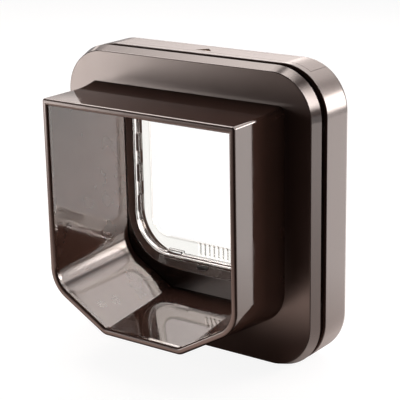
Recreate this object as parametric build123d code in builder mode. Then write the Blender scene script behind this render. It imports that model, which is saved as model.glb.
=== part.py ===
# Electronic cat flap: an outdoor plate with its tunnel and an indoor housing, clamped on both faces of a door.
# X runs along the door, +Y points into the room, +Z is up. The origin is on the ground, under the middle.
import os
from math import atan, degrees, radians, tan

from build123d import *

os.makedirs("parts", exist_ok=True)

# Driving dimensions, in millimetres

# Plate and housing, which share one rounded square outline
frame_size = 210
frame_corner = 34
plate_depth = 8.2
plate_bevel = 3
plate_wall = 3
plate_rim = 4
plate_front_edge = 0.8
door_gap = 7
housing_depth = 30
housing_edge = 5.5
housing_lip_edge = 0.6
housing_wall = 2.5

# Tunnel, set out by its margins to the frame's edges at the plate, leaving out the flare of its root
tunnel_reach = 54.7
tunnel_side_margin = 25.8
tunnel_top_margin = 27.7
tunnel_bottom_margin = 16.5
tunnel_wall = 2.8
floor_width = 66
floor_lift = 8.4
chamfer_angle = 30
mouth_spread = 0.8
top_draft = 0.1
bottom_draft = 2.3
inside_draft = 4.6
top_radius = 2
fold_radius = 9
inside_fold_radius = 2
shoulder_radius = 24
flare_length = 19
flare_reach = 2.7
flare_steps = 3
flare_power = 1.5
mouth_rim = 4.7
mouth_rim_depth = 4.5
mouth_edge = 1.8
spigot_gap = 0.4
spigot_edge = 0.8

# Window that the flap hangs in, stepped in from the tunnel's end, under the battery bay
window_step = 0.6
sill_rise = 19.2
window_corner = 31
window_head_radius = 3
window_wall = 2.2
sill_drop = 4.4
sill_depth = 7
sill_corner_growth = 8
sill_edge = 0.8
flange_wall = 2
flange_inset = 0.3

# Flap
flap_gap = 1.4
flap_sheet = 2.4
flap_setback = 11
flap_rim_width = 3.2
flap_rim_depth = 5.6
flap_rim_edge = 0.5
flap_panel_inset = 15
flap_panel_raise = 0.4
tab_length = 13.5
tab_pitch = 23.5
tab_reach = 1.8
tab_middle = 5.5
lower_tab_spacing = 70.5
seal_thickness = 1.2
seal_lip = 0.6
seal_groove = 0.9
seal_end_gap = 1

# Hinge
hinge_drop = 6
rail_radius = 4.2
pin_radius = 1.5
pin_length = 16
pin_in_rail = 9
bush_radius = 3
bush_length = 8
bush_wall = 2
pin_clearance = 0.06

# Latches
latch_spacing = 16
latch_width = 9
latch_thickness = 2.4
latch_travel = 6
latch_sink = 0.5
latch_gap = 0.4
latch_edge = 0.6
foot_height = 2.5
plunger_radius = 2
plunger_length = 15
actuator_radius = 6.5
actuator_height = 20
actuator_bore_depth = 17
guide_height = 14
guide_wall = 2.4
rib_count = 7
rib_pitch = 4
rib_width = 1.4
rib_lift = 6
rib_height = 9

# Battery bay
cell_radius = 7.25
cell_length = 50.5
cell_button_radius = 2.75
cell_button_height = 1
cell_lift = 0.2
cell_side_gap = 0.5
bay_headroom = 2
tower_headroom = 6.3
tray_margin = 25.5
tray_wall = 1.5
spring_room = 6
contact_room = 2
contact_sheet = 0.5
contact_width = 8
contact_height = 10
dimple_radius = 2
cover_side_margin = 16.5
cover_land = 1.2
skirt_land = 2.8
cover_gap = 0.3
tongue_width = 12
tongue_reach = 2.5
tongue_sheet = 1.2
tongue_spacing = 100
arrow_width = 14
arrow_length = 7
arrow_depth = 0.9
arrow_setback = 3

# Button, board and antenna
button_radius = 3.8
button_flange_radius = 5
button_flange_height = 1.2
button_stand = 2
button_stem_radius = 2
button_stem_length = 1
button_edge = 0.6
button_travel = 0.8
switch_size = 6
switch_height = 4
board_width = 20
board_end_gap = 8.5
board_sheet = 1.6
board_standoff = 6
standoff_radius = 2.5
standoff_inset = 6
chip_size = 10
chip_height = 1.4
capacitor_radius = 3
capacitor_height = 8
socket_width = 12
socket_depth = 5
socket_height = 6
component_pitch = 18
antenna_width = 3
antenna_depth = 5

# Fasteners
screw_inset = 10.7
clamp_screw_margin = 43
clamp_post_radius = 6
clamp_shank_radius = 1.8
clamp_head_radius = 3.7
clamp_head_height = 2.5
clamp_grip = 4.2
plate_boss_radius = 4.5
cap_radius = 4.9
cap_height = 1.6
cap_edge = 0.4
frame_screw_margin = 60
frame_boss_radius = 3.5
frame_shank_radius = 1.45
frame_head_radius = 2.8
frame_head_angle = 90
frame_screw_length = 12

# Running and seating gaps
slip_gap = 0.3
seat_gap = 0.2
screw_gap = 0.05

# Places worked out from the driving dimensions

centre = frame_size / 2
overall_depth = tunnel_reach + plate_depth + door_gap + housing_depth
bay_depth = 2 * (cell_radius + cell_side_gap)
mouth_y = -overall_depth / 2
plate_front_y = mouth_y + tunnel_reach
flare_y = plate_front_y - flare_length
plate_back_y = plate_front_y + plate_depth
housing_front_y = plate_back_y + door_gap
room_y = housing_front_y + housing_depth
room_wall_y = room_y - housing_wall
riser_back_y = room_wall_y - bay_depth
riser_front_y = riser_back_y - window_wall
tunnel_end_y = riser_front_y - slip_gap
flange_front_y = housing_front_y + flange_inset
flange_back_y = flange_front_y + flange_wall
flap_y = room_y - flap_setback
latch_offset = (flap_rim_depth + latch_thickness) / 2 + latch_gap
guide_back_y = flap_y + latch_offset + latch_thickness / 2 + guide_wall
cover_front_y = flange_back_y + cover_land + tongue_reach
bay_y = riser_back_y + bay_depth / 2
head_seat_y = room_y - cap_height - seat_gap - clamp_head_height
board_front_y = room_wall_y - board_standoff - board_sheet

# Half widths and heights of the tunnel, window and flap, from the frame's centre
tunnel_half = centre - tunnel_side_margin
tunnel_top = centre - tunnel_top_margin
tunnel_bottom = centre - tunnel_bottom_margin
mouth_half = tunnel_half + mouth_spread
mouth_top = tunnel_top - top_draft
mouth_bottom = tunnel_bottom - bottom_draft
end_half = mouth_half - tunnel_wall - inside_draft
end_top = mouth_top - tunnel_wall
end_bottom = mouth_bottom - tunnel_wall - floor_lift
fold_half = floor_width / 2
sleeve_grow = tunnel_wall + spigot_gap + window_wall
cell_pitch = 2 * cell_radius + slip_gap
bay_height = bay_headroom + 2 * cell_pitch + cell_lift + tray_wall
window_half_width = end_half - window_step
window_top = centre - housing_wall - bay_height - window_wall
window_bottom = end_bottom - sill_rise
flap_half_width = window_half_width - flap_gap
flap_bottom = window_bottom - flap_gap
flap_corner = window_corner - flap_gap
hinge_height = window_top - hinge_drop
seal_top = hinge_height - rail_radius - seal_end_gap

# Heights above the ground
hinge_z = centre + hinge_height
sill_z = centre - window_bottom
tray_z = centre + window_top + window_wall
skirt_z = tray_z + skirt_land
cell_z = tray_z + tray_wall + cell_lift + cell_radius
tower_z = frame_size - housing_wall - tower_headroom
tray_height = tower_z - tray_z
button_flange_z = tower_z - tray_wall - slip_gap - button_flange_height
switch_z = button_flange_z - button_stem_length - button_travel - seat_gap - switch_height
actuator_top_z = housing_wall + actuator_height
foot_z = actuator_top_z + slip_gap
latch_top_z = sill_z - latch_sink

# Places along the door
screw_x = centre - screw_inset
clamp_screw_height = centre - clamp_screw_margin
frame_screw_height = centre - frame_screw_margin
board_x = (window_half_width + window_wall + centre - housing_wall) / 2
board_height = 2 * (frame_screw_height - frame_boss_radius - board_end_gap)
standoff_height = board_height / 2 - standoff_inset
cover_half_width = centre - cover_side_margin
tray_half = centre - tray_margin
cell_start = tray_half - tray_wall - spring_room - cell_length
partition_x = cell_start - contact_room
leaf_root = tray_half - tray_wall
leaf_tip = cell_start + cell_length + seat_gap
leaf_rise = contact_height / 2
plate_taper = degrees(atan(plate_bevel / plate_depth))
frame_head_height = (frame_head_radius - frame_shank_radius) / tan(radians(frame_head_angle / 2))


# Plane across the tunnel at depth y, facing outdoors, with its origin at the frame's centre height.
def facing(y):
    return Plane(origin=(0, y, centre), x_dir=(1, 0, 0), z_dir=(0, -1, 0))


# Rounded square that the plate and the housing share.
def frame_outline(inset):
    size = frame_size - 2 * inset
    with BuildSketch() as outline:
        RectangleRounded(size, size, frame_corner - inset)
    return outline.sketch


# Tunnel section: a flat floor, two slanting lower sides, upright walls and a flat roof.
def tunnel_section(half_width, top, bottom, fold, grow=0):
    rise = (half_width - fold_half) * tan(radians(chamfer_angle))
    with BuildSketch() as section:
        with BuildLine():
            Polyline(
                (-fold_half, -bottom),
                (fold_half, -bottom),
                (half_width, rise - bottom),
                (half_width, top),
                (-half_width, top),
                (-half_width, rise - bottom),
                close=True,
            )
        make_face()
        fillet(section.vertices().group_by(Axis.Y)[1], shoulder_radius)
        fillet(section.vertices().group_by(Axis.Y)[-1], top_radius)
        fillet(section.vertices().group_by(Axis.Y)[0], fold)
        if grow:
            offset(amount=grow, mode=Mode.REPLACE)
    return section.sketch


# Outside of the tunnel at depth y, on its way from the plate to the wider mouth.
def tunnel_outside(y, grow=0):
    share = (plate_front_y - y) / tunnel_reach
    return tunnel_section(
        tunnel_half + share * mouth_spread,
        tunnel_top - share * top_draft,
        tunnel_bottom - share * bottom_draft,
        fold_radius,
        grow,
    )


# Section of the tunnel's inner end, grown by what lies around it.
def tunnel_end(grow):
    return tunnel_section(end_half, end_top, end_bottom, inside_fold_radius, grow)


# Bore of the tunnel behind the mouth's rim.
def mouth_bore():
    return tunnel_section(
        mouth_half - tunnel_wall,
        mouth_top - tunnel_wall,
        mouth_bottom - tunnel_wall,
        inside_fold_radius,
    )


# Opening with round lower corners and tighter upper ones.
def opening(half_width, top, bottom, lower_radius, upper_radius):
    with BuildSketch() as section:
        with BuildLine():
            Polyline(
                (-half_width, -bottom),
                (half_width, -bottom),
                (half_width, top),
                (-half_width, top),
                close=True,
            )
        make_face()
        fillet(section.vertices().group_by(Axis.Y)[0], lower_radius)
        fillet(section.vertices().group_by(Axis.Y)[-1], upper_radius)
    return section.sketch


# The window at the flap, and the wider sill outline where it meets the tunnel.
def window(grow):
    return opening(
        window_half_width + grow,
        window_top + grow,
        window_bottom + grow,
        window_corner + grow,
        window_head_radius + grow,
    )


def sill(grow):
    return opening(
        window_half_width + grow,
        window_top + grow,
        window_bottom + sill_drop + grow,
        window_corner + sill_corner_growth + grow,
        window_head_radius + grow,
    )


# Flap outline up to a height, drawn in by inset at its sides and bottom.
def flap_outline(inset, top):
    half_width = flap_half_width - inset
    with BuildSketch() as outline:
        with BuildLine():
            Polyline(
                (-half_width, inset - flap_bottom),
                (half_width, inset - flap_bottom),
                (half_width, top),
                (-half_width, top),
                close=True,
            )
        make_face()
        fillet(outline.vertices().group_by(Axis.Y)[0], flap_corner - inset)
    return outline.sketch


# Housing as a tray that is open towards the door.
def housing_tray():
    with BuildPart() as tray:
        with BuildSketch(facing(room_y)):
            add(frame_outline(0))
        extrude(amount=housing_depth)
        fillet(tray.faces().sort_by(Axis.Y)[-1].edges(), housing_edge)
        with BuildSketch(facing(room_wall_y)):
            add(frame_outline(housing_wall))
        extrude(amount=housing_depth - housing_wall, mode=Mode.SUBTRACT)
        fillet(tray.faces().sort_by(Axis.Y)[0].edges(), housing_lip_edge)
    return tray.part


# Side view of the battery cover's share of the shell, reaching past its top and its room face.
def cover_side(gap):
    with BuildSketch() as side:
        with Locations((cover_front_y - gap, skirt_z - gap)):
            Rectangle(housing_depth, frame_size, align=(Align.MIN, Align.MIN))
    return side.sketch


# Exterior frame: dished plate and tunnel in one moulding

with BuildPart() as exterior_frame:
    with BuildSketch(facing(plate_back_y)):
        add(frame_outline(0))
    extrude(amount=plate_depth, taper=plate_taper)
    fillet(exterior_frame.faces().sort_by(Axis.Y)[0].edges(), plate_front_edge)
    with BuildSketch(facing(plate_back_y)):
        add(frame_outline(plate_rim))
    extrude(amount=plate_depth - plate_wall, taper=plate_taper, mode=Mode.SUBTRACT)
    # Tunnel through the plate, with the hollow flare of its root and a wider mouth
    with BuildSketch(facing(plate_back_y)):
        add(tunnel_outside(plate_front_y))
    extrude(amount=plate_depth)
    for step in range(flare_steps + 1):
        share = step / flare_steps
        station = flare_y + share * flare_length
        with BuildSketch(facing(station)):
            add(tunnel_outside(station, flare_reach * share**flare_power))
    loft()
    with BuildSketch(facing(flare_y)):
        add(tunnel_outside(flare_y))
    with BuildSketch(facing(mouth_y)):
        add(tunnel_outside(mouth_y))
    loft(ruled=True)
    # Spigot that reaches through the door into the housing
    with BuildSketch(facing(tunnel_end_y)):
        add(tunnel_end(tunnel_wall))
    extrude(amount=tunnel_end_y - plate_back_y)
    # Bore with its floor falling towards the mouth, behind a rim
    with BuildSketch(facing(tunnel_end_y)):
        add(tunnel_end(0))
    with BuildSketch(facing(mouth_y + mouth_rim_depth)):
        add(mouth_bore())
    loft(ruled=True, mode=Mode.SUBTRACT)
    with BuildSketch(facing(mouth_y + mouth_rim_depth)):
        add(tunnel_outside(mouth_y, -mouth_rim))
    extrude(amount=mouth_rim_depth, mode=Mode.SUBTRACT)
    fillet(exterior_frame.faces().sort_by(Axis.Y)[0].edges(), mouth_edge)
    fillet(exterior_frame.faces().sort_by(Axis.Y)[-1].inner_wires()[0].edges(), spigot_edge)
    # Bosses for the clamp screws
    with BuildSketch(facing(plate_back_y)):
        with GridLocations(2 * screw_x, 2 * clamp_screw_height, 2, 2):
            Circle(plate_boss_radius)
    extrude(amount=plate_depth - plate_wall)
    with BuildSketch(facing(plate_back_y)):
        with GridLocations(2 * screw_x, 2 * clamp_screw_height, 2, 2):
            Circle(clamp_shank_radius + screw_gap)
    extrude(amount=clamp_grip + slip_gap, mode=Mode.SUBTRACT)
exterior_frame.part.label = "exterior_frame"
export_step(exterior_frame.part, "parts/exterior_frame.step")

# Interior housing: tray with the window, the battery opening and its inner posts

with BuildPart() as interior_housing:
    add(housing_tray())
    with BuildSketch(facing(room_wall_y)):
        with GridLocations(2 * screw_x, 2 * clamp_screw_height, 2, 2):
            Circle(clamp_post_radius)
        with GridLocations(2 * screw_x, 2 * frame_screw_height, 2, 2):
            Circle(frame_boss_radius)
    extrude(amount=room_wall_y - flange_back_y)
    with BuildSketch(facing(room_wall_y)):
        with Locations((board_x, 0)):
            with GridLocations(0, 2 * standoff_height, 1, 2):
                Circle(standoff_radius)
    extrude(amount=board_standoff)
    with BuildSketch(facing(room_y)):
        add(window(window_wall + seat_gap))
    extrude(amount=housing_wall, mode=Mode.SUBTRACT)
    with BuildSketch(Plane.YZ):
        add(cover_side(cover_gap))
    extrude(amount=cover_half_width + cover_gap, both=True, mode=Mode.SUBTRACT)
    # Stepped holes for the clamp screws, their heads and their caps
    with BuildSketch(facing(room_y)):
        with GridLocations(2 * screw_x, 2 * clamp_screw_height, 2, 2):
            Circle(cap_radius + screw_gap)
    extrude(amount=cap_height, mode=Mode.SUBTRACT)
    with BuildSketch(facing(room_y)):
        with GridLocations(2 * screw_x, 2 * clamp_screw_height, 2, 2):
            Circle(clamp_head_radius + slip_gap)
    extrude(amount=room_y - head_seat_y, mode=Mode.SUBTRACT)
    with BuildSketch(facing(room_y)):
        with GridLocations(2 * screw_x, 2 * clamp_screw_height, 2, 2):
            Circle(clamp_shank_radius + slip_gap)
    extrude(amount=housing_depth, mode=Mode.SUBTRACT)
    with BuildSketch(facing(flange_back_y)):
        with GridLocations(2 * screw_x, 2 * frame_screw_height, 2, 2):
            Circle(frame_shank_radius + screw_gap)
    extrude(amount=-frame_screw_length, mode=Mode.SUBTRACT)
interior_housing.part.label = "interior_housing"
export_step(interior_housing.part, "parts/interior_housing.step")

# Window frame: closes the housing towards the door, takes the tunnel's spigot and carries the flap

with BuildPart() as window_frame:
    with BuildSketch(facing(flange_back_y)):
        add(frame_outline(housing_wall + seat_gap))
    extrude(amount=flange_wall)
    # Sleeve around the spigot, ending in the riser below the sill
    with BuildSketch(facing(riser_back_y)):
        add(tunnel_end(sleeve_grow))
    extrude(amount=riser_back_y - flange_back_y)
    with BuildSketch(facing(riser_front_y)):
        add(tunnel_end(tunnel_wall + spigot_gap))
    extrude(amount=riser_front_y - flange_front_y, mode=Mode.SUBTRACT)
    # Window tube through to the room, and the sloping sill in front of it
    with BuildSketch(facing(room_y)):
        add(window(window_wall))
    extrude(amount=room_y - riser_back_y)
    with BuildSketch(facing(riser_front_y + sill_depth)):
        add(window(window_wall))
    with BuildSketch(facing(riser_front_y)):
        add(sill(window_wall))
    loft(ruled=True)
    # Latch guide under the sill, and bosses for the hinge bushes
    with BuildSketch(facing(guide_back_y)):
        with Locations((0, -window_bottom - guide_height / 2)):
            Rectangle(latch_spacing + latch_width + 2 * guide_wall, guide_height)
    extrude(amount=guide_back_y - riser_back_y)
    for side in (-1, 1):
        with BuildSketch(Plane.YZ.offset(side * (window_half_width + window_wall / 2))):
            with Locations((flap_y, hinge_z)):
                Circle(bush_radius + bush_wall)
        extrude(amount=side * (flap_half_width + slip_gap + bush_length - window_half_width - window_wall / 2))
    # Opening through the sill and the window
    with BuildSketch(facing(room_y)):
        add(window(0))
    extrude(amount=room_y - riser_front_y - sill_depth, mode=Mode.SUBTRACT)
    with BuildSketch(facing(riser_front_y + sill_depth)):
        add(window(0))
    with BuildSketch(facing(riser_front_y)):
        add(sill(0))
    loft(ruled=True, mode=Mode.SUBTRACT)
    riser = window_frame.faces().filter_by_position(Axis.Y, tunnel_end_y, riser_front_y + slip_gap)[0]
    fillet(riser.inner_wires()[0].edges(), sill_edge)
    for side in (-1, 1):
        with BuildSketch(Plane.YZ.offset(side * window_half_width / 2)):
            with Locations((flap_y, hinge_z)):
                Circle(bush_radius + screw_gap)
        extrude(amount=side * window_half_width, mode=Mode.SUBTRACT)
    # Slots for the two latches, one on each face of the flap
    for side in (-1, 1):
        with BuildSketch(Plane.XY.offset(sill_z + slip_gap)):
            with Locations((side * latch_spacing / 2, flap_y + side * latch_offset)):
                Rectangle(latch_width + 2 * slip_gap, latch_thickness + 2 * slip_gap)
        extrude(amount=-guide_height - 2 * slip_gap, mode=Mode.SUBTRACT)
    # Screw holes in the flange
    with BuildSketch(facing(flange_back_y)):
        with GridLocations(2 * screw_x, 2 * clamp_screw_height, 2, 2):
            Circle(clamp_shank_radius + slip_gap)
    extrude(amount=flange_wall, mode=Mode.SUBTRACT)
    with Locations(facing(flange_front_y)):
        with GridLocations(2 * screw_x, 2 * frame_screw_height, 2, 2):
            CounterSinkHole(
                radius=frame_shank_radius + screw_gap,
                counter_sink_radius=frame_head_radius + screw_gap,
                depth=flange_wall,
                counter_sink_angle=frame_head_angle,
            )
window_frame.part.label = "window_frame"
export_step(window_frame.part, "parts/window_frame.step")

# Flap: clear sheet with a thicker edge, tabs along the edge, a raised panel and a rail for the hinge pins

with BuildPart() as flap_panel:
    with BuildSketch(facing(flap_y + flap_sheet / 2)):
        add(flap_outline(0, hinge_height))
    extrude(amount=flap_sheet)
    with BuildSketch(facing(flap_y + flap_rim_depth / 2)):
        add(flap_outline(0, hinge_height))
        add(flap_outline(flap_rim_width, hinge_height), mode=Mode.SUBTRACT)
        with Locations((0, tab_middle)):
            with GridLocations(2 * (flap_half_width - flap_rim_width), tab_pitch, 2, 3):
                Rectangle(2 * tab_reach, tab_length)
        with Locations((0, flap_rim_width - flap_bottom)):
            with GridLocations(lower_tab_spacing, 0, 2, 1):
                Rectangle(tab_length, 2 * tab_reach)
    extrude(amount=flap_rim_depth)
    fillet(flap_panel.faces().sort_by(Axis.Y)[0].edges(), flap_rim_edge)
    fillet(flap_panel.faces().sort_by(Axis.Y)[-1].edges(), flap_rim_edge)
    raised_depth = flap_sheet + 2 * flap_panel_raise
    with BuildSketch(facing(flap_y + raised_depth / 2)):
        add(flap_outline(flap_panel_inset, hinge_height - flap_panel_inset))
    extrude(amount=raised_depth)
    with BuildSketch(Plane.YZ.offset(-flap_half_width)):
        with Locations((flap_y, hinge_z)):
            Circle(rail_radius)
    extrude(amount=2 * flap_half_width)
    # Ribs on the outdoor face above the latches
    with BuildSketch(facing(flap_y)):
        with Locations((0, rib_lift + rib_height / 2 - flap_bottom)):
            with GridLocations(rib_pitch, 0, rib_count, 1):
                Rectangle(rib_width, rib_height)
    extrude(amount=flap_rim_depth / 2)
    # Groove for the seal and holes for the hinge pins
    with BuildSketch(facing(flap_y + seal_thickness / 2 + screw_gap)):
        add(flap_outline(0, seal_top))
        add(flap_outline(seal_groove, seal_top), mode=Mode.SUBTRACT)
    extrude(amount=seal_thickness + 2 * screw_gap, mode=Mode.SUBTRACT)
    for side in (-1, 1):
        with BuildSketch(Plane.YZ.offset(side * flap_half_width)):
            with Locations((flap_y, hinge_z)):
                Circle(pin_radius + screw_gap)
        extrude(amount=-side * pin_in_rail, mode=Mode.SUBTRACT)
flap_panel.part.label = "flap_panel"
export_step(flap_panel.part, "parts/flap_panel.step")

with BuildPart() as flap_seal:
    with BuildSketch(facing(flap_y + seal_thickness / 2)):
        add(flap_outline(-seal_lip, seal_top - screw_gap))
        add(flap_outline(seal_groove - screw_gap, seal_top - screw_gap), mode=Mode.SUBTRACT)
    extrude(amount=seal_thickness)
flap_seal.part.label = "flap_seal"
export_step(flap_seal.part, "parts/flap_seal.step")

# Hinge pins and the bushes that they turn in

for side, word in ((-1, "left"), (1, "right")):
    with BuildPart() as hinge_pin:
        with BuildSketch(Plane.YZ.offset(side * (flap_half_width - pin_in_rail))):
            with Locations((flap_y, hinge_z)):
                Circle(pin_radius)
        extrude(amount=side * pin_length)
    hinge_pin.part.label = f"hinge_pin_{word}"
    export_step(hinge_pin.part, f"parts/hinge_pin_{word}.step")

    with BuildPart() as hinge_bush:
        with BuildSketch(Plane.YZ.offset(side * (flap_half_width + slip_gap))):
            with Locations((flap_y, hinge_z)):
                Circle(bush_radius)
                Circle(pin_radius + pin_clearance, mode=Mode.SUBTRACT)
        extrude(amount=side * bush_length)
    hinge_bush.part.label = f"hinge_bush_{word}"
    export_step(hinge_bush.part, f"parts/hinge_bush_{word}.step")

# Latches with their plungers and actuators: exit in front of the flap, entry behind it

for side, word in ((-1, "exit"), (1, "entry")):
    latch_x = side * latch_spacing / 2
    latch_y = flap_y + side * latch_offset
    foot_depth = latch_offset + latch_thickness / 2 + plunger_radius

    with BuildPart() as latch:
        with BuildSketch(Plane.XY.offset(foot_z)):
            with Locations((latch_x, latch_y)):
                Rectangle(latch_width, latch_thickness)
        extrude(amount=latch_top_z - foot_z)
        with BuildSketch(Plane.XY.offset(foot_z)):
            with Locations((latch_x, latch_y + side * (latch_thickness - foot_depth) / 2)):
                Rectangle(latch_width, foot_depth)
        extrude(amount=foot_height)
        fillet(latch.edges().group_by(Axis.Z)[-1].filter_by(Axis.X), latch_edge)
    latch.part.label = f"{word}_latch"
    export_step(latch.part, f"parts/{word}_latch.step")

    with BuildPart() as plunger:
        with BuildSketch(Plane.XY.offset(foot_z)):
            with Locations((latch_x, flap_y)):
                Circle(plunger_radius)
        extrude(amount=-plunger_length)
    plunger.part.label = f"{word}_plunger"
    export_step(plunger.part, f"parts/{word}_plunger.step")

    with BuildPart() as actuator:
        with BuildSketch(Plane.XY.offset(housing_wall)):
            with Locations((latch_x, flap_y)):
                Circle(actuator_radius)
        extrude(amount=actuator_height)
        with BuildSketch(Plane.XY.offset(actuator_top_z)):
            with Locations((latch_x, flap_y)):
                Circle(plunger_radius + slip_gap)
        extrude(amount=-actuator_bore_depth, mode=Mode.SUBTRACT)
    actuator.part.label = f"{word}_actuator"
    export_step(actuator.part, f"parts/{word}_actuator.step")

# Battery tray on top of the window, with a tower for the button

with BuildPart() as battery_tray:
    with BuildSketch(facing(room_wall_y - seat_gap)):
        with Locations((0, tray_z + tray_wall / 2 - centre)):
            Rectangle(2 * tray_half, tray_wall)
        with Locations((0, tray_z + tray_height / 2 - centre)):
            with GridLocations(2 * tray_half - tray_wall, 0, 2, 1):
                Rectangle(tray_wall, tray_height)
            with GridLocations(2 * partition_x - tray_wall, 0, 2, 1):
                Rectangle(tray_wall, tray_height)
        with Locations((0, tower_z - tray_wall / 2 - centre)):
            Rectangle(2 * partition_x, tray_wall)
        with Locations((0, switch_z - tray_wall / 2 - centre)):
            Rectangle(2 * partition_x, tray_wall)
    extrude(amount=bay_depth - 2 * seat_gap)
    with BuildSketch(Plane.XY.offset(tower_z)):
        with Locations((0, bay_y)):
            Circle(button_radius + slip_gap)
    extrude(amount=-tray_wall, mode=Mode.SUBTRACT)
battery_tray.part.label = "battery_tray"
export_step(battery_tray.part, "parts/battery_tray.step")

# Four cells, two rows on each side of the tower, with their plus ends inwards

for side, word in ((-1, "left"), (1, "right")):
    for row, level in ((0, "lower"), (1, "upper")):
        with BuildPart() as battery:
            with BuildSketch(Plane.YZ.offset(side * cell_start)):
                with Locations((bay_y, cell_z + row * cell_pitch)):
                    Circle(cell_button_radius)
            extrude(amount=side * cell_button_height)
            with BuildSketch(Plane.YZ.offset(side * (cell_start + cell_button_height))):
                with Locations((bay_y, cell_z + row * cell_pitch)):
                    Circle(cell_radius)
            extrude(amount=side * (cell_length - cell_button_height))
        battery.part.label = f"battery_{level}_{word}"
        export_step(battery.part, f"parts/battery_{level}_{word}.step")

# Contacts: bent leaves at the outer ends of the cells, dimpled plates at the inner ends

with BuildPart() as battery_contacts:
    for side in (-1, 1):
        for row in (0, 1):
            level = cell_z + row * cell_pitch - centre
            with BuildSketch(facing(bay_y + contact_width / 2)):
                with BuildLine():
                    Polyline(
                        (side * leaf_root, level + leaf_rise),
                        (side * leaf_tip, level),
                        (side * leaf_root, level - leaf_rise),
                        (side * leaf_root, level - leaf_rise + 2 * contact_sheet),
                        (side * (leaf_tip + 2 * contact_sheet), level),
                        (side * leaf_root, level + leaf_rise - 2 * contact_sheet),
                        close=True,
                    )
                make_face()
            extrude(amount=contact_width)
            with BuildSketch(Plane.YZ.offset(side * partition_x)):
                with Locations((bay_y, cell_z + row * cell_pitch)):
                    Rectangle(contact_width, contact_height)
            extrude(amount=side * contact_sheet)
            with BuildSketch(Plane.YZ.offset(side * partition_x)):
                with Locations((bay_y, cell_z + row * cell_pitch)):
                    Circle(dimple_radius)
            extrude(amount=side * (contact_room - seat_gap))
battery_contacts.part.label = "battery_contacts"
export_step(battery_contacts.part, "parts/battery_contacts.step")

# Battery cover, cut from the same shell as the housing, with tongues and a finger mark

with BuildPart() as battery_cover:
    add(housing_tray())
    with BuildSketch(Plane.YZ):
        add(cover_side(0))
    extrude(amount=cover_half_width, both=True, mode=Mode.INTERSECT)
    with BuildSketch(Plane.XY.offset(frame_size - housing_wall - slip_gap)):
        with Locations((0, cover_front_y)):
            with GridLocations(tongue_spacing, 0, 2, 1):
                Rectangle(tongue_width, 2 * tongue_reach)
    extrude(amount=-tongue_sheet)
    with BuildSketch(Plane.XY.offset(frame_size - housing_wall)):
        with Locations((0, cover_front_y + tongue_reach / 2)):
            with GridLocations(tongue_spacing, 0, 2, 1):
                Rectangle(tongue_width, tongue_reach)
    extrude(amount=-slip_gap)
    with BuildSketch(Plane.XY.offset(frame_size)):
        with BuildLine():
            Polyline(
                (-arrow_width / 2, cover_front_y + arrow_setback),
                (arrow_width / 2, cover_front_y + arrow_setback),
                (0, cover_front_y + arrow_setback + arrow_length),
                close=True,
            )
        make_face()
    extrude(amount=-arrow_depth, mode=Mode.SUBTRACT)
battery_cover.part.label = "battery_cover"
export_step(battery_cover.part, "parts/battery_cover.step")

# Learning button in the tower and the switch below it

with BuildPart() as learn_button:
    with BuildSketch(Plane.XY.offset(button_flange_z)):
        with Locations((0, bay_y)):
            Circle(button_flange_radius)
    extrude(amount=button_flange_height)
    with BuildSketch(Plane.XY.offset(button_flange_z)):
        with Locations((0, bay_y)):
            Circle(button_radius)
    extrude(amount=tower_z + button_stand - button_flange_z)
    fillet(learn_button.edges().group_by(Axis.Z)[-1], button_edge)
    with BuildSketch(Plane.XY.offset(button_flange_z)):
        with Locations((0, bay_y)):
            Circle(button_stem_radius)
    extrude(amount=-button_stem_length)
learn_button.part.label = "learn_button"
export_step(learn_button.part, "parts/learn_button.step")

with BuildPart() as button_switch:
    with BuildSketch(Plane.XY.offset(switch_z)):
        with Locations((0, bay_y)):
            Rectangle(switch_size, switch_size)
    extrude(amount=switch_height)
button_switch.part.label = "button_switch"
export_step(button_switch.part, "parts/button_switch.step")

# Circuit board on its two posts, with its larger components

with BuildPart() as circuit_board:
    with BuildSketch(facing(board_front_y + board_sheet)):
        with Locations((board_x, 0)):
            Rectangle(board_width, board_height)
    extrude(amount=board_sheet)
circuit_board.part.label = "circuit_board"
export_step(circuit_board.part, "parts/circuit_board.step")

with BuildPart() as board_components:
    with BuildSketch(facing(board_front_y)):
        with Locations((board_x, 0)):
            Rectangle(chip_size, chip_size)
    extrude(amount=chip_height)
    with BuildSketch(facing(board_front_y)):
        with Locations((board_x, component_pitch)):
            Circle(capacitor_radius)
    extrude(amount=capacitor_height)
    with BuildSketch(facing(board_front_y)):
        with Locations((board_x, -component_pitch)):
            Rectangle(socket_width, socket_depth)
    extrude(amount=socket_height)
board_components.part.label = "board_components"
export_step(board_components.part, "parts/board_components.step")

# Antenna winding around the sleeve, behind the flange

with BuildPart() as antenna_coil:
    with BuildSketch(facing(flange_back_y + antenna_depth)):
        add(tunnel_end(sleeve_grow + seat_gap + antenna_width))
        add(tunnel_end(sleeve_grow + seat_gap), mode=Mode.SUBTRACT)
    extrude(amount=antenna_depth)
antenna_coil.part.label = "antenna_coil"
export_step(antenna_coil.part, "parts/antenna_coil.step")

# Clamp screws through the door, their caps, and the screws that hold the window frame

with BuildPart() as clamp_screws:
    with Locations(facing(head_seat_y)):
        with GridLocations(2 * screw_x, 2 * clamp_screw_height, 2, 2):
            Cylinder(
                clamp_shank_radius,
                head_seat_y - plate_back_y + clamp_grip,
                align=(Align.CENTER, Align.CENTER, Align.MIN),
            )
            Cylinder(
                clamp_head_radius,
                clamp_head_height,
                align=(Align.CENTER, Align.CENTER, Align.MAX),
            )
clamp_screws.part.label = "clamp_screws"
export_step(clamp_screws.part, "parts/clamp_screws.step")

with BuildPart() as screw_caps:
    with Locations(facing(room_y)):
        with GridLocations(2 * screw_x, 2 * clamp_screw_height, 2, 2):
            Cylinder(cap_radius, cap_height, align=(Align.CENTER, Align.CENTER, Align.MIN))
    chamfer(screw_caps.edges().group_by(Axis.Y)[-1], cap_edge)
screw_caps.part.label = "screw_caps"
export_step(screw_caps.part, "parts/screw_caps.step")

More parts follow.
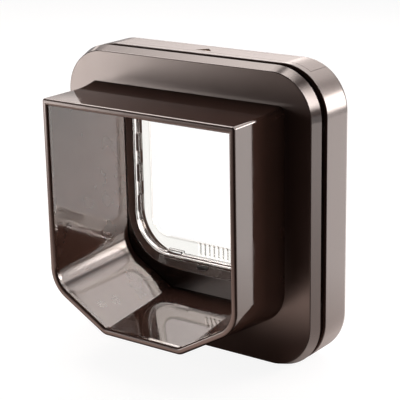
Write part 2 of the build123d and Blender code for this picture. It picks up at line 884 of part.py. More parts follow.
with BuildPart() as frame_screws:
    with Locations(facing(flange_front_y)):
        with GridLocations(2 * screw_x, 2 * frame_screw_height, 2, 2):
            Cone(
                frame_shank_radius,
                frame_head_radius,
                frame_head_height,
                align=(Align.CENTER, Align.CENTER, Align.MAX),
            )
            Cylinder(
                frame_shank_radius,
                frame_screw_length,
                align=(Align.CENTER, Align.CENTER, Align.MAX),
            )
frame_screws.part.label = "frame_screws"
export_step(frame_screws.part, "parts/frame_screws.step")
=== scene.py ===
import math

import bpy
from mathutils import Matrix, Vector


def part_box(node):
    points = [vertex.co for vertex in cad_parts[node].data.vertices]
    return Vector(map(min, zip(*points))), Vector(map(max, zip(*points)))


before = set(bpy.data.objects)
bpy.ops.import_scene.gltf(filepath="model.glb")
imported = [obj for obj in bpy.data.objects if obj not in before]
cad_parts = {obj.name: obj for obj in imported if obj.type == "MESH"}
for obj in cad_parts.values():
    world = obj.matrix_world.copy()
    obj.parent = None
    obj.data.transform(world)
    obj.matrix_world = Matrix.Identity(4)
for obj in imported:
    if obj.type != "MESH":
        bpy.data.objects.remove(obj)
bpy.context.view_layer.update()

scene = bpy.context.scene
scene.view_settings.view_transform = "Standard"
mm = 0.001
print("frame loaded:", len(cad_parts), "nodes")


def linear(code):  # sRGB hex to the linear values that shaders take
    shares = [int(code[i:i + 2], 16) / 255 for i in (1, 3, 5)]
    return tuple(s / 12.92 if s <= 0.04045 else ((s + 0.055) / 1.055) ** 2.4 for s in shares) + (1.0,)


socketNumbers = {"first": 0, "second": 1, "third": 2}  # for nodes whose sockets share one name


def addNode(tree, kind, settings=None, **inputs):  # an input is a value, a socket or a node with one output
    node = tree.nodes.new(kind)
    for key, value in (settings or {}).items():
        setattr(node, key, value)
    for key, value in inputs.items():
        if key in socketNumbers:
            socket = node.inputs[socketNumbers[key]]
        else:
            socket = next(s for s in node.inputs if s.enabled and s.name == key.replace("_", " "))
        if isinstance(value, bpy.types.Node):
            value = next(s for s in value.outputs if s.enabled)
        if isinstance(value, bpy.types.NodeSocket):
            tree.links.new(value, socket)
        else:
            socket.default_value = value
    return node


def spotScale(sizeMm):  # noise scale for spots of about this size, as a noise has two spots in a unit
    return 1 / (2 * sizeMm * mm)


def bandScale(pitchMm):  # wave scale for bands of this pitch, as a wave turns 20 radians in a unit
    return 2 * math.pi / (20 * pitchMm * mm)


def startMaterial(name):
    material = bpy.data.materials.new(name)
    material.use_nodes = True
    tree = material.node_tree
    tree.nodes.clear()
    return material, tree, addNode(tree, "ShaderNodeTexCoord").outputs


def finishMaterial(material, shader):
    addNode(material.node_tree, "ShaderNodeOutputMaterial", Surface=shader)
    return material


middleSpots = {"From_Min": 0.35, "From_Max": 0.65}  # the range that most of a noise lies in
ragged = {"Detail": 3.0}  # noise with broken edges to its spots
plain = {"Detail": 1.0}  # noise with smooth round spots

# Brown ABS from a polished tool: a nearly black brown under a mirror-like skin, with some satin faces
# The Y of a face's normal, -1 looking outdoors, tells whether it is gloss, a satin edge or a satin face
plateBrown = {"deep": "#392822", "light": "#43302a", "ior": 1.7, "smooth": 0.04, "hazy": 0.09,
              "faceSatin": 0.29, "edgeSatin": 0.17, "unevenShare": 0.05, "satinSpecular": 0.5,
              "glossAt": -0.25, "satinAt": -0.33, "edgeAt": -0.4, "faceAt": -0.9,
              "flowMm": 9, "peelMm": 4, "peelDepthMm": 0.002}
# The housing is satin all over
shellBrown = {**plateBrown, "faceSatin": 0.21, "edgeSatin": 0.21, "glossAt": 2.0, "satinAt": 1.9}
# The battery cover's finger mark is a shallow nick, placed from the cover's box; its floor is painted paler
# than the skin, painted light in place of the shade the nick casts
coverBrown = {**shellBrown, "paintedLightMarkTint": "#96806f", "markWidthMm": 14.2, "markFromMm": 5.4, "markToMm": 12.6,
              "markDepthMm": 1.0, "skinMm": 0.02}
# The window frame shines only on its riser; its brown is painted darker than the plate's, a painted shade
# that makes its jambs and sill look nearly black
windowShadedBrown = {**plateBrown, "deep": "#2a1c17", "light": "#32221c", "smooth": 0.2, "hazy": 0.26,
               "faceSatin": 0.45, "edgeSatin": 0.45, "satinSpecular": 0.02, "glossAt": -0.35,
               "satinAt": -0.25}


def insideBox(tree, place, low, high):  # 1 within a box and 0 outside it
    spot = addNode(tree, "ShaderNodeSeparateXYZ", Vector=place).outputs
    inside = 1.0
    for axis, start, end in zip("XYZ", low, high):
        within = addNode(tree, "ShaderNodeMath", {"operation": "COMPARE"}, first=spot[axis],
                         second=(start + end) / 2, third=(end - start) / 2)
        inside = addNode(tree, "ShaderNodeMath", {"operation": "MULTIPLY"}, first=inside, second=within)
    return inside


def mouldedAbs(name, look, box=None):
    material, tree, coordinates = startMaterial(name)
    place = coordinates["Object"]
    flow = addNode(tree, "ShaderNodeTexNoise", Vector=place, Scale=spotScale(look["flowMm"]), **ragged)
    peel = addNode(tree, "ShaderNodeTexNoise", Vector=place, Scale=spotScale(look["peelMm"]), **plain)
    colour = addNode(tree, "ShaderNodeMix", {"data_type": "RGBA"}, Factor=flow, A=linear(look["deep"]),
                     B=linear(look["light"]))
    # Painted light: the finger mark's floor gets a paler tint instead of the shade that falls in it
    if "paintedLightMarkTint" in look:
        half, front, top = look["markWidthMm"] * mm / 2, box[0][1], box[1][2]
        paintedLightMark = insideBox(tree, place,
                           (-half, front + look["markFromMm"] * mm, top - look["markDepthMm"] * mm),
                           (half, front + look["markToMm"] * mm, top - look["skinMm"] * mm))
        colour = addNode(tree, "ShaderNodeMix", {"data_type": "RGBA"}, Factor=paintedLightMark, A=colour,
                         B=linear(look["paintedLightMarkTint"]))
    skin = {"Base_Color": colour,
            "Normal": addNode(tree, "ShaderNodeBump", Height=peel, Distance=look["peelDepthMm"] * mm),
            "IOR": look["ior"]}
    polish = addNode(tree, "ShaderNodeMapRange", Value=flow, **middleSpots, To_Min=look["smooth"],
                     To_Max=look["hazy"])
    gloss = addNode(tree, "ShaderNodeBsdfPrincipled", **skin, Roughness=polish)
    outdoors = addNode(tree, "ShaderNodeSeparateXYZ", Vector=coordinates["Normal"]).outputs["Y"]
    blasted = addNode(tree, "ShaderNodeMapRange", Value=outdoors, From_Min=look["edgeAt"],
                      From_Max=look["faceAt"], To_Min=look["edgeSatin"], To_Max=look["faceSatin"])
    uneven = addNode(tree, "ShaderNodeMapRange", Value=flow, **middleSpots, To_Min=1 - look["unevenShare"],
                     To_Max=1 + look["unevenShare"])
    dull = addNode(tree, "ShaderNodeMath", {"operation": "MULTIPLY"}, first=blasted, second=uneven)
    satin = addNode(tree, "ShaderNodeBsdfPrincipled", **skin, Roughness=dull,
                    Specular_IOR_Level=look["satinSpecular"])
    satinShare = addNode(tree, "ShaderNodeMapRange", Value=outdoors, From_Min=look["glossAt"],
                         From_Max=look["satinAt"])
    return finishMaterial(material, addNode(tree, "ShaderNodeMixShader", first=satinShare, second=gloss,
                                            third=satin))


# Clear polycarbonate: colourless, told by grey and white lines painted along its thick edge, its tabs and
# its raised panel, painted shade and highlight where the thick plastic bends light
# The painted shades go by the distance in from the outline, in mm
clearSheet = {"tint": "#fbfcfb", "ior": 1.5, "smooth": 0.0, "hazy": 0.03, "waveMm": 22,
              "waveDepthMm": 0.004, "cornerMm": 29.6, "edgeMm": 16,
              "paintedEdgeShades": ((0.0, "#ffffff"), (1.5, "#f4f4f3"), (1.8, "#a6a8a8"), (2.2, "#a6a8a8"),
                            (2.5, "#f2f2f1"), (3.4, "#ebebea"), (3.8, "#f7f6f2"), (13.2, "#f8f7f3"),
                            (13.9, "#d8d6d1"), (15.0, "#d8d6d1"), (15.6, "#ffffff")),
              "paintedTabShade": "#d6d7d7", "tabMiddleMm": 110.5, "tabPitchMm": 23.5, "tabLengthMm": 13.5,
              "tabCount": 3, "tabFromMm": 2.4, "tabToMm": 5.1}
# Soft clear silicone: milky edge strip that blurs what lies behind it
clearStrip = {"tint": "#a9abaa", "ior": 1.41, "smooth": 0.12, "hazy": 0.2, "waveMm": 3, "waveDepthMm": 0.01}


def insideOutline(tree, place, box, corner):  # distance in from a box's sides and its round lower corners
    middle = ((box[0][0] + box[1][0]) / 2, 0, box[1][2])
    straight = (box[1][0] - middle[0] - corner, 0, middle[2] - box[0][2] - corner)
    step = addNode(tree, "ShaderNodeVectorMath", {"operation": "MULTIPLY"}, first=place, second=(1, 0, 1))
    step = addNode(tree, "ShaderNodeVectorMath", {"operation": "SUBTRACT"}, first=step, second=middle)
    step = addNode(tree, "ShaderNodeVectorMath", {"operation": "ABSOLUTE"}, first=step)
    step = addNode(tree, "ShaderNodeVectorMath", {"operation": "SUBTRACT"}, first=step, second=straight)
    step = addNode(tree, "ShaderNodeVectorMath", {"operation": "MAXIMUM"}, first=step, second=(0, 0, 0))
    radius = addNode(tree, "ShaderNodeVectorMath", {"operation": "LENGTH"}, first=step)
    return addNode(tree, "ShaderNodeMath", {"operation": "SUBTRACT"}, first=corner, second=radius)


# Painted shade and highlight: grey and pale lines along the flap's edge and grey tabs, in place of light
# bent by the thick plastic
def paintEdgeShade(tree, place, look, box):
    inside = insideOutline(tree, place, box, look["cornerMm"] * mm)
    share = addNode(tree, "ShaderNodeMapRange", Value=inside, From_Max=look["edgeMm"] * mm)
    paintedShades = addNode(tree, "ShaderNodeValToRGB", Fac=share)
    stops = paintedShades.color_ramp.elements
    while len(stops) < len(look["paintedEdgeShades"]):
        stops.new(1.0)
    for stop, (distanceMm, code) in zip(stops, look["paintedEdgeShades"]):
        stop.position = distanceMm / look["edgeMm"]
        stop.color = linear(code)
    height = addNode(tree, "ShaderNodeSeparateXYZ", Vector=place).outputs["Z"]
    pitch, tabMiddle = look["tabPitchMm"] * mm, look["tabMiddleMm"] * mm
    halfPitch = 0.5  # a tab lies in the middle of its pitch
    turns = addNode(tree, "ShaderNodeMath", {"operation": "MULTIPLY_ADD"}, first=height, second=1 / pitch,
                    third=halfPitch - tabMiddle / pitch)
    turns = addNode(tree, "ShaderNodeMath", {"operation": "FRACT"}, first=turns)
    onTab = addNode(tree, "ShaderNodeMath", {"operation": "COMPARE"}, first=turns, second=halfPitch,
                    third=look["tabLengthMm"] / look["tabPitchMm"] / 2)
    inRow = addNode(tree, "ShaderNodeMath", {"operation": "COMPARE"}, first=height, second=tabMiddle,
                    third=look["tabCount"] * pitch / 2)
    inBand = addNode(tree, "ShaderNodeMath", {"operation": "COMPARE"}, first=inside,
                     second=(look["tabFromMm"] + look["tabToMm"]) / 2 * mm,
                     third=(look["tabToMm"] - look["tabFromMm"]) / 2 * mm)
    tab = addNode(tree, "ShaderNodeMath", {"operation": "MULTIPLY"}, first=onTab, second=inRow)
    tab = addNode(tree, "ShaderNodeMath", {"operation": "MULTIPLY"}, first=tab, second=inBand)
    return addNode(tree, "ShaderNodeMix", {"data_type": "RGBA"}, Factor=tab, A=paintedShades,
                   B=linear(look["paintedTabShade"]))


def clearPlastic(name, look, box=None):
    material, tree, coordinates = startMaterial(name)
    place = coordinates["Object"]
    wave = addNode(tree, "ShaderNodeTexNoise", Vector=place, Scale=spotScale(look["waveMm"]), **plain)
    haze = addNode(tree, "ShaderNodeMapRange", Value=wave, **middleSpots, To_Min=look["smooth"],
                   To_Max=look["hazy"])
    # On the flap the colour is the painted edge shade and highlight; elsewhere a plain tint
    tint = paintEdgeShade(tree, place, look, box) if "paintedEdgeShades" in look else linear(look["tint"])
    solid = addNode(tree, "ShaderNodeBsdfPrincipled", Base_Color=tint, Roughness=haze, IOR=look["ior"],
                    Transmission_Weight=1.0,
                    Normal=addNode(tree, "ShaderNodeBump", Height=wave, Distance=look["waveDepthMm"] * mm))
    passed = addNode(tree, "ShaderNodeBsdfTransparent", Color=linear(look["tint"]))
    shadow = addNode(tree, "ShaderNodeLightPath").outputs["Is Shadow Ray"]  # lamps shine through it
    return finishMaterial(material, addNode(tree, "ShaderNodeMixShader", first=shadow, second=solid,
                                            third=passed))


# Dull mouldings: black nylon, white acetal and the grey button, told apart by tone, with a fine spark grain
blackNylon = {"deep": "#151516", "light": "#222224", "ior": 1.5, "smooth": 0.38, "hazy": 0.52,
              "patchMm": 3.6, "grainMm": 0.3, "grainDepthMm": 0.012}
whiteAcetal = {**blackNylon, "deep": "#dedbd2", "light": "#ece9e1", "smooth": 0.28, "hazy": 0.4}
greyKey = {**blackNylon, "deep": "#6f7174", "light": "#7d7f83", "smooth": 0.4, "hazy": 0.5}


def dullMoulding(name, look):
    material, tree, coordinates = startMaterial(name)
    place = coordinates["Object"]
    patches = addNode(tree, "ShaderNodeTexNoise", Vector=place, Scale=spotScale(look["patchMm"]), **ragged)
    spark = addNode(tree, "ShaderNodeTexNoise", Vector=place, Scale=spotScale(look["grainMm"]))
    colour = addNode(tree, "ShaderNodeMix", {"data_type": "RGBA"}, Factor=patches, A=linear(look["deep"]),
                     B=linear(look["light"]))
    worn = addNode(tree, "ShaderNodeMapRange", Value=patches, **middleSpots, To_Min=look["smooth"],
                   To_Max=look["hazy"])
    grain = addNode(tree, "ShaderNodeBump", Height=spark, Distance=look["grainDepthMm"] * mm)
    return finishMaterial(material, addNode(tree, "ShaderNodeBsdfPrincipled", Base_Color=colour,
                                            Roughness=worn, IOR=look["ior"], Normal=grain))


# Bright zinc plating on steel: cool grey metal with cloudy patches and fine drawing marks
platedSteel = {"deep": "#a9aaab", "light": "#cfd0cf", "smooth": 0.18, "hazy": 0.36, "cloudMm": 2.5,
               "markMm": 0.15, "markDepthMm": 0.004, "alongZ": 0.08}
# The clamp screws show a thread where they cross the door gap
screwSteel = {**platedSteel, "threadMm": 0.8, "threadDepthMm": 0.25}


def metal(name, look):
    material, tree, coordinates = startMaterial(name)
    place = coordinates["Object"]
    cloud = addNode(tree, "ShaderNodeTexNoise", Vector=place, Scale=spotScale(look["cloudMm"]), **ragged)
    drawn = addNode(tree, "ShaderNodeMapping", Vector=place, Scale=(1, 1, look["alongZ"]))
    marks = addNode(tree, "ShaderNodeTexNoise", Vector=drawn, Scale=spotScale(look["markMm"]))
    bump = addNode(tree, "ShaderNodeBump", Height=marks, Distance=look["markDepthMm"] * mm)
    if "threadMm" in look:
        turns = addNode(tree, "ShaderNodeTexWave", {"wave_type": "BANDS", "bands_direction": "Y"},
                        Vector=place, Scale=bandScale(look["threadMm"]))
        bump = addNode(tree, "ShaderNodeBump", Height=turns, Distance=look["threadDepthMm"] * mm,
                       Normal=bump)
    colour = addNode(tree, "ShaderNodeMix", {"data_type": "RGBA"}, Factor=cloud, A=linear(look["deep"]),
                     B=linear(look["light"]))
    dull = addNode(tree, "ShaderNodeMapRange", Value=cloud, **middleSpots, To_Min=look["smooth"],
                   To_Max=look["hazy"])
    return finishMaterial(material, addNode(tree, "ShaderNodeBsdfPrincipled", Base_Color=colour,
                                            Metallic=1.0, Roughness=dull, Normal=bump))


# Printed cell sleeve: dark body with a copper-coloured end and bare metal caps
cellSleeve = {"body": "#1d1e21", "band": "#b0713b", "cap": "#c2c2bf", "bandMm": 13, "bandMetal": 0.7,
              "capFrom": 0.6, "capFull": 0.8,  # a cap is told by the X of its normal
              "smooth": 0.22, "hazy": 0.3, "cloudMm": 6}


def cellJacket(name, look, box, plusSide):
    material, tree, coordinates = startMaterial(name)
    place = coordinates["Object"]
    low, high = box[0][0], box[1][0]
    edge = high - look["bandMm"] * mm if plusSide > 0 else low + look["bandMm"] * mm
    along = addNode(tree, "ShaderNodeSeparateXYZ", Vector=place).outputs["X"]
    banded = addNode(tree, "ShaderNodeMath", {"operation": "GREATER_THAN" if plusSide > 0 else "LESS_THAN"},
                     first=along, second=edge)
    facing = addNode(tree, "ShaderNodeSeparateXYZ", Vector=coordinates["Normal"]).outputs["X"]
    facing = addNode(tree, "ShaderNodeMath", {"operation": "ABSOLUTE"}, first=facing)
    capped = addNode(tree, "ShaderNodeMapRange", Value=facing, From_Min=look["capFrom"],
                     From_Max=look["capFull"])
    sleeve = addNode(tree, "ShaderNodeMix", {"data_type": "RGBA"}, Factor=banded, A=linear(look["body"]),
                     B=linear(look["band"]))
    colour = addNode(tree, "ShaderNodeMix", {"data_type": "RGBA"}, Factor=capped, A=sleeve,
                     B=linear(look["cap"]))
    foil = addNode(tree, "ShaderNodeMath", {"operation": "MULTIPLY"}, first=banded,
                   second=look["bandMetal"])
    metallic = addNode(tree, "ShaderNodeMath", {"operation": "MAXIMUM"}, first=capped, second=foil)
    worn = addNode(tree, "ShaderNodeTexNoise", Vector=place, Scale=spotScale(look["cloudMm"]), **ragged)
    dull = addNode(tree, "ShaderNodeMapRange", Value=worn, **middleSpots, To_Min=look["smooth"],
                   To_Max=look["hazy"])
    return finishMaterial(material, addNode(tree, "ShaderNodeBsdfPrincipled", Base_Color=colour,
                                            Metallic=metallic, Roughness=dull))


# Circuit board: glass laminate under a green mask, with paler tracks that stand a little proud
boardMask = {"deep": "#0b3f24", "light": "#11502f", "track": "#2f7a4a", "maskDull": 0.34, "trackDull": 0.26,
             "trackMm": 1.6, "trackFrom": 0.62, "trackFull": 0.7,  # the crest of each wave is a track
             "breakMm": 5, "breakFrom": 0.5, "breakFull": 0.52,  # low noise breaks the tracks
             "patchMm": 15, "raiseMm": 0.03}


def boardLaminate(name, look):
    material, tree, coordinates = startMaterial(name)
    place = coordinates["Object"]
    lines = addNode(tree, "ShaderNodeTexWave", {"wave_type": "BANDS", "bands_direction": "X"}, Vector=place,
                    Scale=bandScale(look["trackMm"]))
    lines = addNode(tree, "ShaderNodeMapRange", Value=lines, From_Min=look["trackFrom"],
                    From_Max=look["trackFull"])
    breaks = addNode(tree, "ShaderNodeTexNoise", Vector=place, Scale=spotScale(look["breakMm"]), **plain)
    kept = addNode(tree, "ShaderNodeMapRange", Value=breaks, From_Min=look["breakFrom"],
                   From_Max=look["breakFull"])
    tracks = addNode(tree, "ShaderNodeMath", {"operation": "MULTIPLY"}, first=lines, second=kept)
    patches = addNode(tree, "ShaderNodeTexNoise", Vector=place, Scale=spotScale(look["patchMm"]))
    mask = addNode(tree, "ShaderNodeMix", {"data_type": "RGBA"}, Factor=patches, A=linear(look["deep"]),
                   B=linear(look["light"]))
    colour = addNode(tree, "ShaderNodeMix", {"data_type": "RGBA"}, Factor=tracks, A=mask,
                     B=linear(look["track"]))
    dull = addNode(tree, "ShaderNodeMapRange", Value=tracks, To_Min=look["maskDull"],
                   To_Max=look["trackDull"])
    bump = addNode(tree, "ShaderNodeBump", Height=tracks, Distance=look["raiseMm"] * mm)
    return finishMaterial(material, addNode(tree, "ShaderNodeBsdfPrincipled", Base_Color=colour,
                                            Roughness=dull, Normal=bump))


# Enamelled copper: warm turns of wire lying side by side, drawn coarser than real wire so that they show;
# each turn is painted lighter on its crest and darker in the crease between turns, a painted highlight and
# shade
windingWire = {"deep": "#7c3d18", "light": "#b8692f", "wireMm": 0.5, "roundMm": 0.12, "cloudMm": 4,
               "cloudShade": 0.6, "metallic": 0.85, "smooth": 0.24, "hazy": 0.36}


def copperWinding(name, look):
    material, tree, coordinates = startMaterial(name)
    place = coordinates["Object"]
    wires = addNode(tree, "ShaderNodeTexWave", {"wave_type": "BANDS", "bands_direction": "Y"}, Vector=place,
                    Scale=bandScale(look["wireMm"]))
    cloud = addNode(tree, "ShaderNodeTexNoise", Vector=place, Scale=spotScale(look["cloudMm"]), **ragged)
    # Random cloud tone, then painted shade and highlight: the wire bands darken the creases between turns
    # and lighten their crests
    toneAndCreaseShade = addNode(tree, "ShaderNodeMapRange", Value=cloud, **middleSpots, To_Min=look["cloudShade"])
    toneAndCreaseShade = addNode(tree, "ShaderNodeMath", {"operation": "MULTIPLY"}, first=wires, second=toneAndCreaseShade)
    colour = addNode(tree, "ShaderNodeMix", {"data_type": "RGBA"}, Factor=toneAndCreaseShade, A=linear(look["deep"]),
                     B=linear(look["light"]))
    dull = addNode(tree, "ShaderNodeMapRange", Value=cloud, **middleSpots, To_Min=look["smooth"],
                   To_Max=look["hazy"])
    bump = addNode(tree, "ShaderNodeBump", Height=wires, Distance=look["roundMm"] * mm)
    return finishMaterial(material, addNode(tree, "ShaderNodeBsdfPrincipled", Base_Color=colour,
                                            Roughness=dull, Metallic=look["metallic"], Normal=bump))


brownAbs = mouldedAbs("brownAbs", shellBrown)
blackPlastic = dullMoulding("blackNylon", blackNylon)
steel = metal("platedSteel", platedSteel)
acetal = dullMoulding("whiteAcetal", whiteAcetal)
nodeMaterials = {
    "exterior_frame": mouldedAbs("plateAbs", plateBrown),
    "interior_housing": brownAbs,
    "battery_cover": mouldedAbs("coverAbs", coverBrown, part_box("battery_cover")),
    "screw_caps": brownAbs,
    "window_frame": mouldedAbs("windowShadedAbs", windowShadedBrown),
    "flap_panel": clearPlastic("clearPolycarbonate", clearSheet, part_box("flap_panel")),
    "flap_seal": clearPlastic("clearSilicone", clearStrip),
    "hinge_pin_left": steel,
    "hinge_pin_right": steel,
    "hinge_bush_left": acetal,
    "hinge_bush_right": acetal,
    "exit_latch": blackPlastic,
    "entry_latch": blackPlastic,
    "exit_plunger": steel,
    "entry_plunger": steel,
    "exit_actuator": steel,
    "entry_actuator": steel,
    "battery_tray": blackPlastic,
    "battery_contacts": steel,
    "learn_button": dullMoulding("greyKey", greyKey),
    "button_switch": blackPlastic,
    "circuit_board": boardLaminate("boardLaminate", boardMask),
    "board_components": blackPlastic,
    "antenna_coil": copperWinding("copperWinding", windingWire),
    "clamp_screws": metal("screwSteel", screwSteel),
    "frame_screws": steel,
}
for side, plusSide in (("left", 1), ("right", -1)):  # the cells' plus ends look inwards
    for level in ("lower", "upper"):
        cell = f"battery_{level}_{side}"
        nodeMaterials[cell] = cellJacket(cell + "_sleeve", cellSleeve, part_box(cell), plusSide)
for nodeName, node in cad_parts.items():
    node.data.materials.clear()
    node.data.materials.append(nodeMaterials[nodeName])
print("materials:", len(set(nodeMaterials.values())))

# White paper floor that keeps a faint shadow
# In mirrors it is bright behind the part, with a warm patch before it that fades forwards and to the right
floorLook = {"size": 8.0, "colour": "#757575", "lift": 0.9, "through": 1.1, "backNear": 0.04,
             "backFar": 0.2, "frontNear": -0.06, "frontFar": -0.1, "frontEnd": -0.3, "nearLevel": 3.4,
             "farLevel": 0.5, "frontLeft": 0.03, "frontRight": 0.15, "frontTint": "#f0cdbf"}
bpy.ops.object.select_all(action="DESELECT")
bpy.ops.mesh.primitive_plane_add(size=floorLook["size"], location=(0, 0, 0))
floor = bpy.context.object
floor.name = "floor"
paper, tree, coordinates = startMaterial("floorPaper")
rays = addNode(tree, "ShaderNodeLightPath").outputs
spot = addNode(tree, "ShaderNodeSeparateXYZ", Vector=coordinates["Object"]).outputs
behind = addNode(tree, "ShaderNodeMapRange", Value=spot["Y"], From_Min=floorLook["backNear"],
                 From_Max=floorLook["backFar"])
before = addNode(tree, "ShaderNodeMapRange", Value=spot["Y"], From_Min=floorLook["frontNear"],
                 From_Max=floorLook["frontFar"])
fading = addNode(tree, "ShaderNodeMapRange", Value=spot["Y"], From_Min=floorLook["frontFar"],
                 From_Max=floorLook["frontEnd"], To_Min=floorLook["nearLevel"],
                 To_Max=floorLook["farLevel"])
leftward = addNode(tree, "ShaderNodeMapRange", Value=spot["X"], From_Min=floorLook["frontRight"],
                   From_Max=floorLook["frontLeft"])
mirrored = rays["Is Glossy Ray"]
for share in (fading, leftward, mirrored):
    before = addNode(tree, "ShaderNodeMath", {"operation": "MULTIPLY"}, first=before, second=share)
behind = addNode(tree, "ShaderNodeMath", {"operation": "MULTIPLY"}, first=behind, second=mirrored)
lifted = addNode(tree, "ShaderNodeMath", {"operation": "MULTIPLY_ADD"}, first=rays["Is Camera Ray"],
                 second=floorLook["lift"], third=behind)
level = addNode(tree, "ShaderNodeMix", Factor=rays["Is Transmission Ray"], A=lifted,
                B=floorLook["through"])
glow = addNode(tree, "ShaderNodeEmission", Strength=level)
shaded = addNode(tree, "ShaderNodeBsdfDiffuse", Color=linear(floorLook["colour"]))
shaded = addNode(tree, "ShaderNodeMixShader", first=mirrored, second=shaded)  # mirrors see the glow alone
warm = addNode(tree, "ShaderNodeEmission", Color=linear(floorLook["frontTint"]), Strength=before)
glow = addNode(tree, "ShaderNodeAddShader", first=glow, second=warm)
finishMaterial(paper, addNode(tree, "ShaderNodeAddShader", first=shaded, second=glow))
floor.data.materials.append(paper)
print("floor laid")

# Surroundings: white to the eye and through the flap, in mirrors dark before the part and dim behind it
worldLook = {"white": 1.0, "front": 0.04, "back": 0.4, "turn": 0.35}
scene.world = bpy.data.worlds.new("studio")
scene.world.use_nodes = True
tree = scene.world.node_tree
tree.nodes.clear()
direction = addNode(tree, "ShaderNodeTexCoord").outputs["Generated"]
backward = addNode(tree, "ShaderNodeSeparateXYZ", Vector=direction).outputs["Y"]
rays = addNode(tree, "ShaderNodeLightPath").outputs
seen = addNode(tree, "ShaderNodeMath", {"operation": "MAXIMUM"}, first=rays["Is Camera Ray"],
               second=rays["Is Transmission Ray"])
dim = addNode(tree, "ShaderNodeMapRange", Value=backward, From_Min=-worldLook["turn"],
              From_Max=worldLook["turn"], To_Min=worldLook["front"], To_Max=worldLook["back"])
level = addNode(tree, "ShaderNodeMix", Factor=seen, A=dim, B=worldLook["white"])
sky = addNode(tree, "ShaderNodeBackground", Color=(1, 1, 1, 1), Strength=level)
addNode(tree, "ShaderNodeOutputWorld", Surface=sky)

# Soft boxes by what they do in the brown skin, each fading towards its sides and ends
lampTint = "#fff0e9"
areaWatts = 4  # watts per square metre that give an area lamp a radiance of 1
boxMiddle = 0.5  # a lamp's own coordinates run from 0 to 1
partMiddle = (0, 0, 0.1)
evenBox = {"target": partMiddle, "sideFade": 0.2, "endFade": 0.2, "low": 1.0, "high": 1.0,
           "diffuse": True}
softBoxes = {
    "backBox": {**evenBox, "at": (-0.2, 1.0, 0.85), "width": 2.2, "height": 1.1, "radiance": 2.0,
                "sideFade": 0.25, "endFade": 0.05, "low": 0.0, "high": 2.0},  # chamfer and tunnel floor
    "horizonBox": {**evenBox, "at": (-0.7, 0.96, 0.55), "target": (0, 0, 0.21), "width": 1.3,
                   "height": 0.22, "radiance": 2.8, "sideFade": 0.25, "endFade": 0.3},  # top of the housing
    "cornerBox": {**evenBox, "at": (0.58, 0.715, 0.246), "width": 0.5, "height": 0.34, "radiance": 10.0,
                  "sideFade": 0.25, "endFade": 0.15},  # housing's corner and the bend over the chamfer
    "sideBox": {**evenBox, "at": (0.88, 0.18, 0.78), "width": 0.32, "height": 1.1, "radiance": 14.0,
                "diffuse": False},  # round corner of the plate's bevel
    "topBox": {**evenBox, "at": (0.1, 0.32, 1.3), "width": 0.85, "height": 0.25, "radiance": 9.0,
               "diffuse": False},  # upper end of that corner
    "overheadBox": {**evenBox, "at": (-0.8, 0.25, 1.2), "width": 0.5, "height": 0.5, "radiance": 8.0,
                    "endFade": 0.1},  # edges of the mouth
    "keyBox": {**evenBox, "at": (-0.46, -0.39, 0.15), "target": (0, 0, 0.15), "width": 0.3, "height": 0.3,
               "radiance": 10.0, "sideFade": 0.5, "endFade": 0.01},  # left end of the plate
    "fillBox": {**evenBox, "at": (-0.49, -0.755, 0.19), "width": 0.42, "height": 0.2, "radiance": 3.5,
                "sideFade": 0.5, "endFade": 0.3},  # riser under the flap
    "tableBox": {**evenBox, "at": (0.5, 0.4, 0.003), "target": (0.5, 0.4, 1), "width": 0.84, "height": 0.84,
                 "radiance": 1.3, "sideFade": 0.03, "endFade": 0.01, "low": 0.85,
                 "high": 1.05},  # upright sides
    "rightBox": {**evenBox, "at": (0.8, 0.85, 0.5), "width": 0.6, "height": 0.7,
                 "radiance": 4.0},  # tunnel's right wall
}


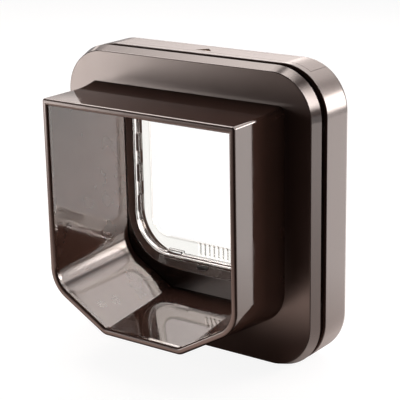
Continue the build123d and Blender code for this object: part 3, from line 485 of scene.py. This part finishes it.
def softBox(name, look):
    lamp = bpy.data.lights.new(name, "AREA")
    lamp.shape = "RECTANGLE"
    lamp.size = look["width"]
    lamp.size_y = look["height"]
    lamp.energy = areaWatts * look["width"] * look["height"] * look["radiance"]
    lamp.color = linear(lampTint)[:3]
    lamp.use_nodes = True
    tree = lamp.node_tree
    spot = addNode(tree, "ShaderNodeNewGeometry").outputs["Parametric"]
    spot = addNode(tree, "ShaderNodeSeparateXYZ", Vector=spot).outputs
    strength = addNode(tree, "ShaderNodeMapRange", Value=spot["Y"], To_Min=look["low"],
                       To_Max=look["high"])
    for axis, fade in (("X", look["sideFade"]), ("Y", look["endFade"])):
        offset = addNode(tree, "ShaderNodeMath", {"operation": "SUBTRACT"}, first=spot[axis],
                         second=boxMiddle)
        offset = addNode(tree, "ShaderNodeMath", {"operation": "ABSOLUTE"}, first=offset)
        share = addNode(tree, "ShaderNodeMapRange", Value=offset, From_Min=boxMiddle,
                        From_Max=boxMiddle - fade)
        strength = addNode(tree, "ShaderNodeMath", {"operation": "MULTIPLY"}, first=strength, second=share)
    tree.links.new(strength.outputs[0], tree.nodes["Emission"].inputs["Strength"])
    holder = bpy.data.objects.new(name, lamp)
    scene.collection.objects.link(holder)
    holder.location = look["at"]
    holder.rotation_euler = (Vector(look["target"]) - holder.location).to_track_quat("-Z", "Y").to_euler()
    holder.visible_camera = False
    holder.visible_diffuse = look["diffuse"]  # without it the box shows in mirrors alone


for lampName, look in softBoxes.items():
    softBox(lampName, look)
print("lamps:", len(softBoxes))

# Camera fitted to the photo
cameraLook = {"azimuth": 36.28, "elevation": 16.85, "roll": -1.11, "distance": 0.956,
              "target": (0.0126, 0.00475, 0.1106), "lens": 124.56, "sensor": 36}
azimuth, elevation, roll = (math.radians(cameraLook[key]) for key in ("azimuth", "elevation", "roll"))
back = Vector((math.sin(azimuth) * math.cos(elevation), -math.cos(azimuth) * math.cos(elevation),
               math.sin(elevation)))
right = Vector((math.cos(azimuth), math.sin(azimuth), 0))
up = back.cross(right)
rolledRight = math.cos(roll) * right + math.sin(roll) * up
rolledUp = math.cos(roll) * up - math.sin(roll) * right
camera = bpy.data.objects.new("camera", bpy.data.cameras.new("camera"))
scene.collection.objects.link(camera)
camera.data.lens = cameraLook["lens"]
camera.data.sensor_width = cameraLook["sensor"]
stand = Vector(cameraLook["target"]) + back * cameraLook["distance"]
axes = Matrix((rolledRight, rolledUp, back)).transposed()
camera.matrix_world = Matrix.Translation(stand) @ axes.to_4x4()
scene.camera = camera
print("camera set")
